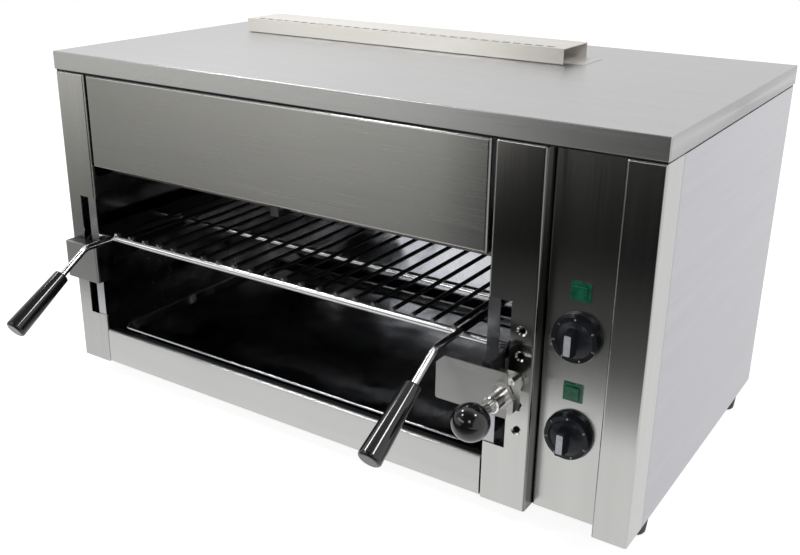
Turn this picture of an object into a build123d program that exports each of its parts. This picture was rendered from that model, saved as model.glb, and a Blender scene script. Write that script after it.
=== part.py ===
"""Countertop cheese melter: an electric salamander grill with a height-adjustable wire rack.

Millimetres, +Z up, +X to the right as the user faces the grill, -Y towards the user.
The origin is on the counter, at the centre of the footprint with the handles included.
"""
from build123d import *
from math import cos, radians, sin
import os

os.makedirs("parts", exist_ok=True)

# ---------------------------------------------------------------- driving dimensions

# casing
body_width = 800.0
body_depth = 455.0
casing_height = 400.0          # underside of the body to the lid's lower edge
lid_height = 22.5
lid_overhang = 1.0
lid_edge = 1.2
lid_gap = 2.2                  # shadow gap between the lid's edge and the panels
lid_rim = 0.6                  # rounding of the lid's lower edge
sheet = 1.5                    # outer sheet metal
liner = 1.0                    # inner sheet metal
fold_radius = 2.0              # radius of a fold, on the sheet's middle
seam = 0.6                     # gap between neighbouring panels
hem = 6.0                      # short return that stiffens an open edge
panel_return = 12.0            # return of the side and rear panels

# front layout, left to right
left_post_width = 50.0
middle_post_width = 54.0
panel_width = 76.0
corner_post_width = 38.0
post_wrap = 43.0               # how far a corner post reaches round the side
panel_recess = 20.0            # control panel behind the posts' faces
panel_flange = 12.0
post_cap_round = 2.3           # rounding over the posts' upper edges
fascia_height = 118.5
fascia_gap = 4.5
fascia_fold = 3.5              # outer radius round the fascia's face
fascia_return = 14.0
rail_height = 48.0
rail_setback = 1.0
rail_gap = 1.2                 # between the rail and each post
rail_return = 12.0

# feet
foot_height = 26.0
foot_diameter = 30.0
foot_tip_diameter = 25.0
foot_round = 3.0
foot_inset_side = 17.5
foot_inset_front = 74.0
foot_inset_rear = 48.0

# flue
flue_left = 79.0               # left end of the flue box, from the body's left face
flue_right = 229.0             # open end of the flue box, from the body's right face
flue_front = 283.0             # front of the flue box, from the front face
flue_depth = 71.0
flue_height = 18.3
flue_slot_margin = 7.0
flue_slot_pitch = 15.0
flue_slot_length = 10.5
flue_slot_width = 8.0
flue_slot_setback = 9.0
flue_plate_tab = 20.5          # the mounting plate shows past the box's open end
flue_plate_setback = 17.0
flue_port_inset = 41.0         # the port through the lid, inside the box's ends
flue_port_depth = 46.0

# cavity
cavity_side_gap = 6.0          # air gap between the casing and the cavity's left wall
cavity_wall_clear = 8.0        # cavity's right wall, left of the control compartment
cavity_front = 15.0
cavity_back = 352.0            # both from the front face
ceiling_lift = 10.7            # ceiling above the fascia's lower edge
floor_drop = 1.5               # cavity floor below the top of the front rail

# heating elements
element_radius = 4.0
element_drop = 24.0            # below the ceiling
element_count = 4
element_pitch = 66.0
element_first = 58.0           # middle of the first hairpin, from the front face
element_legs = 34.0            # distance between a hairpin's two legs
element_tail = 14.0            # cold end past the cavity's right wall
element_left_clear = 24.0      # hairpin's bend, from the cavity's left wall
hanger_width = 12.0
hanger_thickness = 2.0

# height adjustment
slot_width = 13.0
slot_inset = 20.2              # middle of the slot, from the edge of the opening
lock_inset = 39.2              # row of lock holes, from the edge of the opening
lock_count = 5
lock_pitch = 28.1
lock_height = 150.8            # middle lock hole, above the body's underside
lock_diameter = 7.5
lock_sink_diameter = 11.5
lock_sink_angle = 120.0
slot_end_clear = 1.2
strip_thickness = 1.0
strip_lap = 12.0

# carriers: the arms that pass through the slots
web_thickness = 2.5
web_drop = 24.0                # lower edge at the slot, below the middle lock hole
web_rise = 27.5                # upper edge at the slot, above the middle lock hole
web_length = 290.0             # reach behind the front face
web_heel = 16.0                # the upper edge climbs to its full height over this length
web_tail_height = 24.0
head_width = 11.0
head_thickness = 3.0
head_rise = 4.0                # the head stands above the bracket's upper edge
tie_radius = 4.0
tie_places = (14.0, 128.0, 262.0)
shoe_width = 26.0
shoe_height = 40.0
shoe_depth = 7.0
shoe_clear = 0.4

# brackets in front of the posts
bracket_height = 49.5
bracket_corner = 3.0
left_bracket_depth = 20.0
left_bracket_outer = 42.0      # outer edge, from the edge of the opening
left_bracket_inner = 16.0      # inner edge, past the edge of the opening
left_bracket_wrap = 9.0        # inner flange reaches this far behind the front face
right_bracket_depth = 36.0
right_bracket_outer = 43.6
right_bracket_inner = 37.5
right_bracket_chamfer = 9.0
bracket_post_clear = 1.0

# index plunger
plunger_radius = 9.0
plunger_front = 62.0           # front end of the housing, ahead of the front face
plunger_rear = 1.0
plunger_nose_radius = 6.0
plunger_block_width = 23.0
plunger_block_height = 41.0
plunger_block_rear = 19.0      # rear face of the block, ahead of the front face
plunger_nut_radius = 13.8
plunger_nut_thickness = 5.0
plunger_chamber_radius = 6.6
plunger_wall = 4.0             # front wall of the spring chamber
plunger_guide = 19.0           # length of the guide bore at the post
pin_fit = 0.05
pin_rest_clear = 0.3           # pin's nose ahead of the post, drawn
pin_nose = 1.0
collar_radius = 6.2
collar_thickness = 3.0
collar_back = 27.0             # rear face of the collar, ahead of the front face
neck_radius = 5.5
neck_back = 68.0
ball_radius = 19.0
ball_forward = 100.0           # middle of the ball, ahead of the front face
ball_seat = 5.0
spring_wire = 1.2
spring_turns = 6
spring_clear = 0.3

# rack
rack_height = 187.5            # middle of the rack's frame, above the body's underside
rack_radius = 4.0
rack_side_clear = 32.3         # middle of a side rod, from the edge of the opening
rack_depth = 321.0
rack_front_end = 6.0           # side rods end this far ahead of the front bar's middle
rack_rear_end = 6.0
wire_count = 21
wire_margin = 5.7              # outer wires, from the middles of the side rods
wire_radius = 2.5
wire_overrun = 2.5
weld_sink = 0.6                # wires sunk into the frame's rods
tie_clear = 0.3

# handles
handle_reach_level = 48.0      # bend of the rod, ahead of the front face
handle_slope = 31.0
handle_bend_radius = 20.0
handle_rod_visible = 47.0
grip_length = 90.0
grip_radius_top = 9.5
grip_radius_end = 13.0
grip_round_top = 2.0
grip_round_end = 3.5
grip_bore_depth = 30.0

# drip tray
tray_side_clear = 21.0         # tray's rim, from the edge of the opening
tray_depth = 328.0
tray_front = 7.0
tray_height = 9.6
tray_flare = 45.0
tray_wall = 0.8
tray_wall_slant = 1.41         # level width of the slanting wall, over its thickness
tray_rim_radius = 1.6
tray_corner = 14.0
tray_clear = 0.3
runner_width = 12.0
runner_height = 1.6

# controls
controls_offset = 1.5          # controls' middle, left of the panel's middle
control_pitch = 109.2
knob_height = 97.2             # lower knob, above the body's underside
lamp_above_knob = 48.4
knob_radius = 26.0
knob_skirt = 10.0
knob_skirt_taper = 2.0
knob_hub_radius = 19.5
knob_hub_height = 4.0
knob_bar_width = 10.0
knob_bar_length = 28.0
knob_bar_height = 12.0
knob_bar_corner = 1.5
knob_clear = 0.3
knob_recess_radius = 11.0
knob_recess = 5.0
knob_bore_depth = 14.0
spindle_radius = 3.0
spindle_fit = 0.05
spindle_engage = 6.0
bush_radius = 5.0
bush_proud = 4.0
nut_radius = 8.0
nut_thickness = 2.5
regulator_size = 42.0
regulator_depth = 36.0
regulator_corner = 3.0
lamp_width = 21.0
lamp_height = 20.0
lamp_rim = 1.8                 # height of the lens's rim
lamp_border = 3.2              # width of the rim round the raised middle
lamp_proud = 4.0
lamp_taper = 8.0
lamp_round = 0.8
lamp_body_width = 17.0
lamp_body_height = 14.0
lamp_body_depth = 26.0

# rear services
gland_inset = 60.0             # from the right face
gland_height = 60.0            # above the body's underside
gland_bore_radius = 5.0
gland_body_radius = 8.0
gland_nut_radius = 12.0
gland_nut_thickness = 5.0
gland_proud = 14.0
gland_inside = 10.0
vent_rows = 3
vent_columns = 9
vent_pitch_x = 14.0
vent_pitch_z = 34.0
vent_slot_width = 5.0
vent_slot_height = 26.0
vent_middle_inset = 90.0
vent_height = 250.0
terminal_length = 60.0
terminal_width = 24.0
terminal_height = 22.0
terminal_ways = 5
screw_head_radius = 4.0
screw_head_height = 2.0

# ---------------------------------------------------------------- derived places

half = body_width / 2
handle_along = handle_rod_visible + grip_length
handle_reach = (
    handle_reach_level
    + (handle_along - grip_round_end) * cos(radians(handle_slope))
    + (grip_radius_end - grip_round_end) * sin(radians(handle_slope))
    + grip_round_end
)
rear_reach = gland_proud - sheet
front = (handle_reach - body_depth - rear_reach) / 2     # y of the front face
back = front + body_depth
under = foot_height                                      # z of the body's underside
lid_bottom = under + casing_height
lid_top = lid_bottom + lid_height
panel_top = lid_bottom - lid_gap
side_hem = cavity_side_gap - seam / 2                    # clears the cavity's left wall

panel_right = half - corner_post_width
panel_left = panel_right - panel_width
controls_middle = (panel_left + panel_right) / 2 - controls_offset
opening_left = -half + left_post_width
opening_right = panel_left - middle_post_width
opening_middle = (opening_left + opening_right) / 2
opening_width = opening_right - opening_left

slot_left = opening_left - slot_inset
slot_right = opening_right + slot_inset
lock_x = opening_right + lock_inset
lock_z = under + lock_height
travel = lock_pitch * (lock_count - 1) / 2
web_bottom = lock_z - web_drop
web_top = lock_z + web_rise
slot_bottom = web_bottom - travel - slot_end_clear
slot_top = web_top + travel + slot_end_clear

cavity_left = -half + cavity_side_gap
cavity_right = panel_left - cavity_wall_clear
floor_top = under + rail_height - floor_drop
fascia_bottom = panel_top - fascia_height
ceiling = fascia_bottom + ceiling_lift
element_z = ceiling - element_drop
flue_length = body_width - flue_left - flue_right
flue_slot_count = int((flue_length - 2 * flue_slot_margin) / flue_slot_pitch)

rack_z = under + rack_height
rack_span = opening_width - 2 * rack_side_clear
wire_pitch = (rack_span - 2 * wire_margin) / (wire_count - 1)
tray_width = opening_width - 2 * tray_side_clear
tie_z = rack_z - rack_radius - tie_clear - tie_radius
bracket_bottom = lock_z - bracket_height / 2
bracket_top = lock_z + bracket_height / 2
head_top = bracket_top + head_rise

knob_z = (under + knob_height + control_pitch, under + knob_height)
lamp_z = tuple(z + lamp_above_knob for z in knob_z)
panel_face = front + panel_recess
side_names = ("left", "right")
level_names = ("upper", "lower")


# ---------------------------------------------------------------- shared helpers

def seen_from_front(y):
    """A plane at y that is drawn on from the front; extruding goes towards -Y."""
    return Plane.XZ.offset(-y)


def seen_from_right(x):
    """A plane at x that is drawn on from the right; extruding goes towards +X."""
    return Plane.YZ.offset(x)


def level(z):
    """A level plane at z; extruding goes up."""
    return Plane.XY.offset(z)


def folded(points, plane, length, thickness=sheet):
    """Sheet folded along the mid-line points and drawn out square to the plane."""
    with BuildPart() as piece:
        with BuildSketch(plane):
            with BuildLine():
                FilletPolyline(*points, radius=fold_radius)
            trace(line_width=thickness)
        extrude(amount=length)
    return piece


def plate(low, high):
    """A flat plate or block between two opposite corners."""
    size = [high[i] - low[i] for i in range(3)]
    middle = tuple((high[i] + low[i]) / 2 for i in range(3))
    with BuildPart() as piece:
        with Locations(middle):
            Box(*size)
    return piece


def finish(piece, name):
    """Label a finished piece and write it."""
    piece.part.label = name
    export_step(piece.part, f"parts/{name}.step")


# ---------------------------------------------------------------- casing

def make_lid():
    """Folded lid with rounded vertical corners and the port under the flue box."""
    port_left = -half + flue_left + flue_port_inset
    port_right = -half + flue_left + flue_length - flue_port_inset
    port_y = front + flue_front + flue_depth / 2
    with BuildPart() as lid:
        with BuildSketch(level(lid_bottom)):
            with Locations((0, front + body_depth / 2)):
                Rectangle(body_width + 2 * lid_overhang, body_depth + 2 * lid_overhang)
        extrude(amount=lid_height)
        offset(amount=-sheet, openings=lid.faces().sort_by(Axis.Z)[0], kind=Kind.INTERSECTION)
        outer_corners = lid.faces().sort_by(Axis.X)[0].edges().filter_by(Axis.Z)
        outer_corners += lid.faces().sort_by(Axis.X)[-1].edges().filter_by(Axis.Z)
        fillet(outer_corners, radius=fold_radius)
        fillet(lid.faces().sort_by(Axis.Z)[-1].edges(), radius=lid_edge)
        fillet(lid.faces().sort_by(Axis.Z)[0].outer_wire().edges(), radius=lid_rim)
        with BuildSketch(level(lid_top - sheet)):
            with Locations(((port_left + port_right) / 2, port_y)):
                Rectangle(port_right - port_left, flue_port_depth)
        extrude(amount=sheet, mode=Mode.SUBTRACT)
    finish(lid, "lid")


def make_top_frame():
    """Angle ring inside the lid; the posts and panels hang from it."""
    edge = sheet - lid_overhang + seam
    width = body_width - 2 * edge
    depth = body_depth - 2 * edge
    hole_near = front + panel_recess + panel_flange
    hole_far = back - panel_return
    with BuildPart() as ring:
        with BuildSketch(level(panel_top)):
            with Locations((0, front + body_depth / 2)):
                Rectangle(width, depth)
            with Locations((0, (hole_near + hole_far) / 2)):
                Rectangle(width - 2 * panel_return, hole_far - hole_near, mode=Mode.SUBTRACT)
        extrude(amount=sheet)
        with BuildSketch(level(panel_top)):
            with Locations((0, front + body_depth / 2)):
                Rectangle(width, depth)
                Rectangle(width - 2 * sheet, depth - 2 * sheet, mode=Mode.SUBTRACT)
        extrude(amount=lid_top - sheet - panel_top)
    finish(ring, "top_frame")


def cap_post(post, *outline):
    """Short return along the top of a post, with the outer edge rounded over."""
    with post:
        with BuildSketch(level(panel_top - sheet)) as cap:
            with BuildLine():
                Polyline(*outline, close=True)
            make_face()
            fillet(cap.vertices().group_by(Axis.Y)[0], radius=fold_radius + sheet / 2)
        extrude(cap.sketch, amount=sheet)
        rim = post.faces().sort_by(Axis.Z)[-1].edges().filter_by(Axis.X).sort_by(Axis.Y)[0]
        fillet(rim, radius=post_cap_round)


def make_posts():
    """Left post, slotted middle post with its lock holes, and the right corner post."""
    mid = sheet / 2
    height = panel_top - under
    slot_height = slot_top - slot_bottom
    slot_middle = (slot_top + slot_bottom) / 2
    inner = front + hem
    wrapped = front + post_wrap
    recessed = front + panel_recess + panel_flange

    left_path = (
        (-half + mid, wrapped),
        (-half + mid, front + mid),
        (opening_left - mid, front + mid),
        (opening_left - mid, inner),
    )
    left = folded(left_path, level(under), height)
    with left:
        notch = opening_left - slot_left + slot_width / 2
        with Locations((opening_left - notch / 2, front + hem / 2, slot_middle)):
            Box(notch, 2 * hem, slot_height, mode=Mode.SUBTRACT)
    cap_post(
        left,
        (-half, wrapped),
        (-half, front),
        (opening_left, front),
        (opening_left, inner),
        (-half + hem, inner),
        (-half + hem, wrapped),
    )
    finish(left, "left_post")

    middle_path = (
        (opening_right + mid, inner),
        (opening_right + mid, front + mid),
        (panel_left - mid, front + mid),
        (panel_left - mid, recessed),
    )
    middle = folded(middle_path, level(under), height)
    with middle:
        notch = slot_right - opening_right + slot_width / 2
        with Locations((opening_right + notch / 2, front + hem / 2, slot_middle)):
            Box(notch, 2 * hem, slot_height, mode=Mode.SUBTRACT)
        for step in range(lock_count):
            z = lock_z + (step - (lock_count - 1) / 2) * lock_pitch
            with Locations(Plane(origin=(lock_x, front, z), z_dir=(0, -1, 0))):
                CounterSinkHole(
                    radius=lock_diameter / 2,
                    counter_sink_radius=lock_sink_diameter / 2,
                    depth=2 * sheet,
                    counter_sink_angle=lock_sink_angle,
                )
    cap_post(
        middle,
        (opening_right, inner),
        (opening_right, front),
        (panel_left, front),
        (panel_left, recessed),
        (panel_left - hem, recessed),
        (panel_left - hem, inner),
    )
    finish(middle, "middle_post")

    corner_path = (
        (panel_right + mid, recessed),
        (panel_right + mid, front + mid),
        (half - mid, front + mid),
        (half - mid, wrapped),
    )
    corner = folded(corner_path, level(under), height)
    cap_post(
        corner,
        (panel_right, recessed),
        (panel_right, front),
        (half, front),
        (half, wrapped),
        (half - hem, wrapped),
        (half - hem, inner),
        (panel_right + hem, inner),
        (panel_right + hem, recessed),
    )
    finish(corner, "corner_post")


def make_slot_guides():
    """Polished strips behind the notches, between each slot and the opening."""
    y = front + sheet
    lap = strip_lap
    edges = ((slot_left + slot_width / 2, opening_left, -1), (slot_right - slot_width / 2, opening_right, 1))
    for name, (slot_edge, opening_edge, side) in zip(side_names, edges):
        hem_edge = opening_edge + side * (sheet + fold_radius)
        with BuildPart() as strip:
            with BuildSketch(seen_from_front(y + strip_thickness)):
                with BuildLine():
                    Polyline(
                        (slot_edge, slot_bottom - lap),
                        (hem_edge, slot_bottom - lap),
                        (hem_edge, slot_bottom),
                        (opening_edge, slot_bottom),
                        (opening_edge, slot_top),
                        (hem_edge, slot_top),
                        (hem_edge, slot_top + lap),
                        (slot_edge, slot_top + lap),
                        close=True,
                    )
                make_face()
            extrude(amount=strip_thickness)
        finish(strip, f"slot_guide_{name}")


def make_side_panels():
    """Side skins, folded in at the seam with the posts and round the rear corner."""
    mid = sheet / 2
    start = front + post_wrap + seam + mid
    for name, side in zip(side_names, (-1, 1)):
        path = (
            (side * (half - side_hem), start),
            (side * (half - mid), start),
            (side * (half - mid), back - mid),
            (side * (half - panel_return), back - mid),
        )
        finish(folded(path, level(under), panel_top - under), f"side_panel_{name}")


def make_rear_panel():
    """Back sheet with the vent slots and the hole for the cable gland."""
    y = back - sheet - liner
    inset = sheet + fold_radius
    rear = plate((-half + inset, y, under), (half - inset, y + liner, panel_top))
    with rear:
        with BuildSketch(seen_from_front(y)) as cuts:
            with Locations((half - vent_middle_inset, under + vent_height)):
                with GridLocations(vent_pitch_x, vent_pitch_z, vent_columns, vent_rows):
                    SlotOverall(vent_slot_height, vent_slot_width, rotation=90)
            with Locations((half - gland_inset, under + gland_height)):
                Circle(gland_body_radius)
        extrude(cuts.sketch, amount=-liner, mode=Mode.SUBTRACT)
    finish(rear, "rear_panel")


def make_base_pan():
    """Pan that closes the body underneath and carries the feet, notched round the returns."""
    near = front + rail_setback + rail_return + seam
    far = back - sheet - liner
    wrap = front + post_wrap + sheet + 2 * seam
    edge = half - sheet - seam / 2
    channel = panel_recess + panel_flange + seam / 2
    with BuildPart() as pan:
        with BuildSketch(level(under)):
            with Locations((0, (near + far) / 2)):
                Rectangle(2 * edge, far - near)
            with Locations(((panel_left + panel_right) / 2, front)):
                Rectangle(panel_right - panel_left + 2 * sheet + seam, 2 * channel, mode=Mode.SUBTRACT)
            with Locations((-half, wrap - sheet - seam), (half, wrap - sheet - seam)):
                Rectangle(2 * (side_hem + seam), 2 * (sheet + seam), mode=Mode.SUBTRACT)
        extrude(amount=sheet)
        with BuildSketch(level(under)):
            with Locations((0, (wrap + far) / 2)):
                Rectangle(2 * edge, far - wrap)
            with Locations((0, (wrap + far) / 2 - sheet)):
                Rectangle(2 * (edge - sheet), far - wrap, mode=Mode.SUBTRACT)
        extrude(amount=panel_return)
    finish(pan, "base_pan")


def make_front_rail():
    """Channel-folded rail across the bottom of the opening."""
    mid = sheet / 2
    face = front + rail_setback
    path = (
        (face + rail_return, under + mid),
        (face + mid, under + mid),
        (face + mid, under + rail_height - mid),
        (face + rail_return, under + rail_height - mid),
    )
    start = seen_from_right(opening_left + rail_gap)
    finish(folded(path, start, opening_width - 2 * rail_gap), "front_rail")


def make_fascia():
    """Upper front panel, a shallow tray open to the back."""
    width = opening_width - 2 * fascia_gap
    with BuildPart() as fascia:
        for inset, mode in ((0, Mode.ADD), (sheet, Mode.SUBTRACT)):
            with BuildPart(mode=mode) as tray:
                with BuildSketch(seen_from_front(front + inset)):
                    with Locations((opening_middle, panel_top - fascia_height / 2)):
                        Rectangle(width - 2 * inset, fascia_height - 2 * inset)
                extrude(amount=-fascia_return)
                fillet(tray.faces().sort_by(Axis.Y)[0].edges(), radius=fascia_fold - inset)
    finish(fascia, "fascia")


def make_control_panel():
    """Recessed channel between the posts, pierced for the spindles and the lamps."""
    mid = sheet / 2
    path = (
        (panel_left + mid, panel_face + panel_flange),
        (panel_left + mid, panel_face + mid),
        (panel_right - mid, panel_face + mid),
        (panel_right - mid, panel_face + panel_flange),
    )
    panel = folded(path, level(under), panel_top - under)
    with panel:
        with BuildSketch(seen_from_front(panel_face)) as cuts:
            for z in knob_z:
                with Locations((controls_middle, z)):
                    Circle(bush_radius)
            for z in lamp_z:
                with Locations((controls_middle, z)):
                    Rectangle(lamp_body_width, lamp_body_height)
        extrude(cuts.sketch, amount=-sheet, mode=Mode.SUBTRACT)
    finish(panel, "control_panel")


def make_feet():
    """Four tapered feet screwed to the base pan."""
    places = [
        (side * (half - foot_inset_side), y)
        for y in (front + foot_inset_front, back - foot_inset_rear)
        for side in (-1, 1)
    ]
    with BuildPart() as feet:
        for place in places:
            with BuildSketch(level(0)):
                with Locations(place):
                    Circle(foot_tip_diameter / 2)
            with BuildSketch(level(foot_height)):
                with Locations(place):
                    Circle(foot_diameter / 2)
            loft()
        fillet(feet.edges().filter_by(GeomType.CIRCLE).group_by(Axis.Z)[0], radius=foot_round)
    finish(feet, "feet")


# ---------------------------------------------------------------- flue

def make_flue():
    """Low slotted box on the lid, open at its right end, on a plate that shows past it."""
    left = -half + flue_left
    middle_x = left + flue_length / 2
    middle_y = front + flue_front + flue_depth / 2
    base = lid_top + liner
    with BuildPart() as box:
        with BuildSketch(level(base)):
            with Locations((middle_x, middle_y)):
                Rectangle(flue_length, flue_depth)
        extrude(amount=flue_height)
        ends = [box.faces().sort_by(Axis.Z)[0], box.faces().sort_by(Axis.X)[-1]]
        offset(amount=-liner, openings=ends, kind=Kind.INTERSECTION)
        with BuildSketch(level(base + flue_height - liner)):
            with Locations((middle_x, front + flue_front + flue_slot_setback)):
                with GridLocations(flue_slot_pitch, 0, flue_slot_count, 1):
                    Rectangle(flue_slot_length, flue_slot_width)
        extrude(amount=liner, mode=Mode.SUBTRACT)
    finish(box, "flue_box")

    port_width = flue_length - 2 * flue_port_inset
    low_y = front + flue_front + flue_plate_setback
    high_y = front + flue_front + flue_depth
    tab = left + flue_length + flue_plate_tab
    base_plate = plate((left, low_y, lid_top), (tab, high_y, lid_top + liner))
    with base_plate:
        with Locations((middle_x, middle_y, lid_top)):
            Box(port_width, flue_port_depth, 4 * liner, mode=Mode.SUBTRACT)
    finish(base_plate, "flue_plate")

    with BuildPart() as duct:
        with BuildSketch(level(ceiling)):
            with Locations((middle_x, middle_y)):
                Rectangle(port_width, flue_port_depth)
                Rectangle(port_width - 2 * liner, flue_port_depth - 2 * liner, mode=Mode.SUBTRACT)
        extrude(amount=lid_top - ceiling)
    finish(duct, "flue_duct")


# ---------------------------------------------------------------- cavity

def make_cavity():
    """Polished liner of the grilling space: two walls, back, floor and ceiling."""
    near = front + cavity_front
    wall_near = near + fold_radius
    far = front + cavity_back
    wall = plate((cavity_left, wall_near, floor_top), (cavity_left + liner, far, ceiling))
    finish(wall, "cavity_wall_left")

    right = plate((cavity_right - liner, wall_near, floor_top), (cavity_right, far, ceiling))
    with right:
        with BuildSketch(seen_from_right(cavity_right - liner)) as cuts:
            for y in element_leg_places():
                with Locations((y, element_z)):
                    Circle(element_radius)
        extrude(cuts.sketch, amount=liner, mode=Mode.SUBTRACT)
    finish(right, "cavity_wall_right")

    rear = plate((cavity_left, far, floor_top - liner), (cavity_right, far + liner, ceiling + liner))
    finish(rear, "cavity_back")

    lap = front + rail_setback + rail_return / 2
    bottom = plate((cavity_left, lap, floor_top - liner), (cavity_right, far, floor_top))
    finish(bottom, "cavity_floor")

    middle_x = -half + flue_left + flue_length / 2
    middle_y = front + flue_front + flue_depth / 2
    path = (
        (near - liner / 2, fascia_bottom),
        (near - liner / 2, ceiling + liner / 2),
        (far, ceiling + liner / 2),
    )
    top = folded(path, seen_from_right(cavity_left), cavity_right - cavity_left, liner)
    with top:
        with Locations((middle_x, middle_y, ceiling)):
            Box(flue_length - 2 * flue_port_inset, flue_port_depth, 4 * liner, mode=Mode.SUBTRACT)
    finish(top, "cavity_ceiling")


def element_leg_places():
    """y of every straight leg of the heating elements."""
    middles = [front + element_first + n * element_pitch for n in range(element_count)]
    return [y + leg for y in middles for leg in (-element_legs / 2, element_legs / 2)]


def make_elements():
    """Hairpin tube elements under the ceiling, in a front and a rear heating zone."""
    z = element_z
    bend_x = cavity_left + element_left_clear + element_legs / 2
    tail_x = cavity_right + element_tail
    zones = (("front", range(0, element_count // 2)), ("rear", range(element_count // 2, element_count)))
    for name, numbers in zones:
        with BuildPart() as zone:
            for n in numbers:
                y = front + element_first + n * element_pitch
                near = (tail_x, y - element_legs / 2, z)
                with BuildLine():
                    first = Line(near, (bend_x, y - element_legs / 2, z))
                    turn = ThreePointArc(
                        first @ 1,
                        (bend_x - element_legs / 2, y, z),
                        (bend_x, y + element_legs / 2, z),
                    )
                    Line(turn @ 1, (tail_x, y + element_legs / 2, z))
                with BuildSketch(Plane(origin=near, z_dir=(-1, 0, 0))):
                    Circle(element_radius)
                sweep()
        finish(zone, f"heating_element_{name}")


def make_element_supports():
    """Strap under the middle of the elements and an angle under their bends."""
    strap_z = element_z - element_radius - hanger_thickness / 2
    near = front + cavity_front + fold_radius + hanger_thickness / 2
    far = element_leg_places()[-1] + element_radius + 2 * hanger_thickness
    path = ((near, ceiling), (near, strap_z), (far, strap_z), (far, ceiling))
    start = seen_from_right(opening_middle - hanger_width / 2)
    finish(folded(path, start, hanger_width, hanger_thickness), "element_hanger")

    inner = cavity_left + liner + liner / 2
    shelf = element_z - element_radius - liner / 2
    path = (
        (inner, shelf - panel_return),
        (inner, shelf),
        (cavity_left + element_left_clear + element_legs / 2, shelf),
    )
    finish(folded(path, seen_from_front(far), far - near, liner), "element_rest")


# ---------------------------------------------------------------- height-adjusting carriage

def make_carriers():
    """Arms through the slots, with a head in front and a long web behind the post."""
    heel = front + sheet + web_heel
    tail = front + web_length
    full_top = tie_z + 2 * tie_radius
    places = (
        ("left", slot_left, left_bracket_depth, bracket_top - sheet, bracket_top - sheet),
        ("right", slot_right, right_bracket_depth, web_top, head_top),
    )
    for name, x, depth, arm_top, tab_top in places:
        head_back = front - depth + sheet + head_thickness
        with BuildPart() as carrier:
            with BuildSketch(seen_from_right(x - web_thickness / 2)):
                with BuildLine():
                    Polyline(
                        (head_back, web_bottom),
                        (head_back, arm_top),
                        (front - bracket_post_clear, arm_top),
                        (front, web_top),
                        (heel, full_top),
                        (tail, full_top),
                        (tail, full_top - web_tail_height),
                        (heel, web_bottom),
                        close=True,
                    )
                make_face()
            extrude(amount=web_thickness)
            with Locations((x, head_back - head_thickness / 2, (tab_top + web_bottom) / 2)):
                Box(head_width, head_thickness, tab_top - web_bottom)
        finish(carrier, f"carrier_{name}")


def make_ties():
    """Round bars between the two webs; the rack's side rods lie on them."""
    near = slot_left + web_thickness / 2
    length = slot_right - web_thickness / 2 - near
    with BuildPart() as ties:
        with BuildSketch(seen_from_right(near)):
            with Locations(*[(front + y, tie_z) for y in tie_places]):
                Circle(tie_radius)
        extrude(amount=length)
    finish(ties, "carriage_ties")


def make_shoes():
    """Grooved shoes that steady the webs against the back of the posts."""
    for name, x in zip(side_names, (slot_left, slot_right)):
        near = front + sheet + strip_thickness + shoe_clear
        low = lock_z - shoe_height / 2
        shoe = plate(
            (x - shoe_width / 2, near, low),
            (x + shoe_width / 2, near + shoe_depth, low + shoe_height),
        )
        with shoe:
            with Locations((x, near + shoe_depth / 2, lock_z)):
                Box(web_thickness, 2 * shoe_depth, 2 * shoe_height, mode=Mode.SUBTRACT)
        finish(shoe, f"slide_shoe_{name}")


def make_brackets():
    """Left bracket, a small hood; right bracket, a plate with a block for the plunger."""
    outer = opening_left - left_bracket_outer
    inner = opening_left + left_bracket_inner
    face = front - left_bracket_depth
    left = plate((outer, face, bracket_bottom), (inner, front - bracket_post_clear, bracket_top))
    with left:
        ends = [left.faces().sort_by(Axis.Y)[-1], left.faces().sort_by(Axis.Z)[0]]
        offset(amount=-sheet, openings=ends, kind=Kind.INTERSECTION)
        fillet(left.edges().filter_by(Axis.Z).group_by(Axis.Y)[0], radius=fold_radius)
        wing = left_bracket_wrap + bracket_post_clear
        with Locations((inner - sheet / 2, front + (left_bracket_wrap - bracket_post_clear) / 2, lock_z)):
            Box(sheet, wing, bracket_height)
    finish(left, "bracket_left")

    inner = opening_right - right_bracket_inner
    outer = opening_right + right_bracket_outer
    face = front - right_bracket_depth
    with BuildPart() as right:
        with BuildSketch(seen_from_front(face + sheet)):
            with BuildLine():
                Polyline(
                    (inner, bracket_bottom),
                    (inner, bracket_top - right_bracket_chamfer),
                    (inner + right_bracket_chamfer, bracket_top),
                    (outer, bracket_top),
                    (outer, bracket_bottom),
                    close=True,
                )
            make_face()
        extrude(amount=sheet)
        corner = right.edges().filter_by(Axis.Y).group_by(Axis.X)[0].sort_by(Axis.Z)[0]
        fillet(corner, radius=bracket_corner)
        with Locations(Plane(origin=(lock_x, face, lock_z), z_dir=(0, -1, 0))):
            Hole(radius=plunger_radius, depth=sheet)
    finish(right, "bracket_right")

    block = plate(
        (lock_x - plunger_block_width / 2, face + sheet, lock_z - plunger_block_height / 2),
        (lock_x + plunger_block_width / 2, front - plunger_block_rear, lock_z + plunger_block_height / 2),
    )
    with block:
        chamfer(block.faces().sort_by(Axis.X)[-1].edges().filter_by(Axis.Y), length=bracket_corner)
        with Locations(Plane(origin=(lock_x, face, lock_z), z_dir=(0, -1, 0))):
            Hole(radius=plunger_radius, depth=right_bracket_depth)
    finish(block, "plunger_block")


# ---------------------------------------------------------------- index plunger

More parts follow.
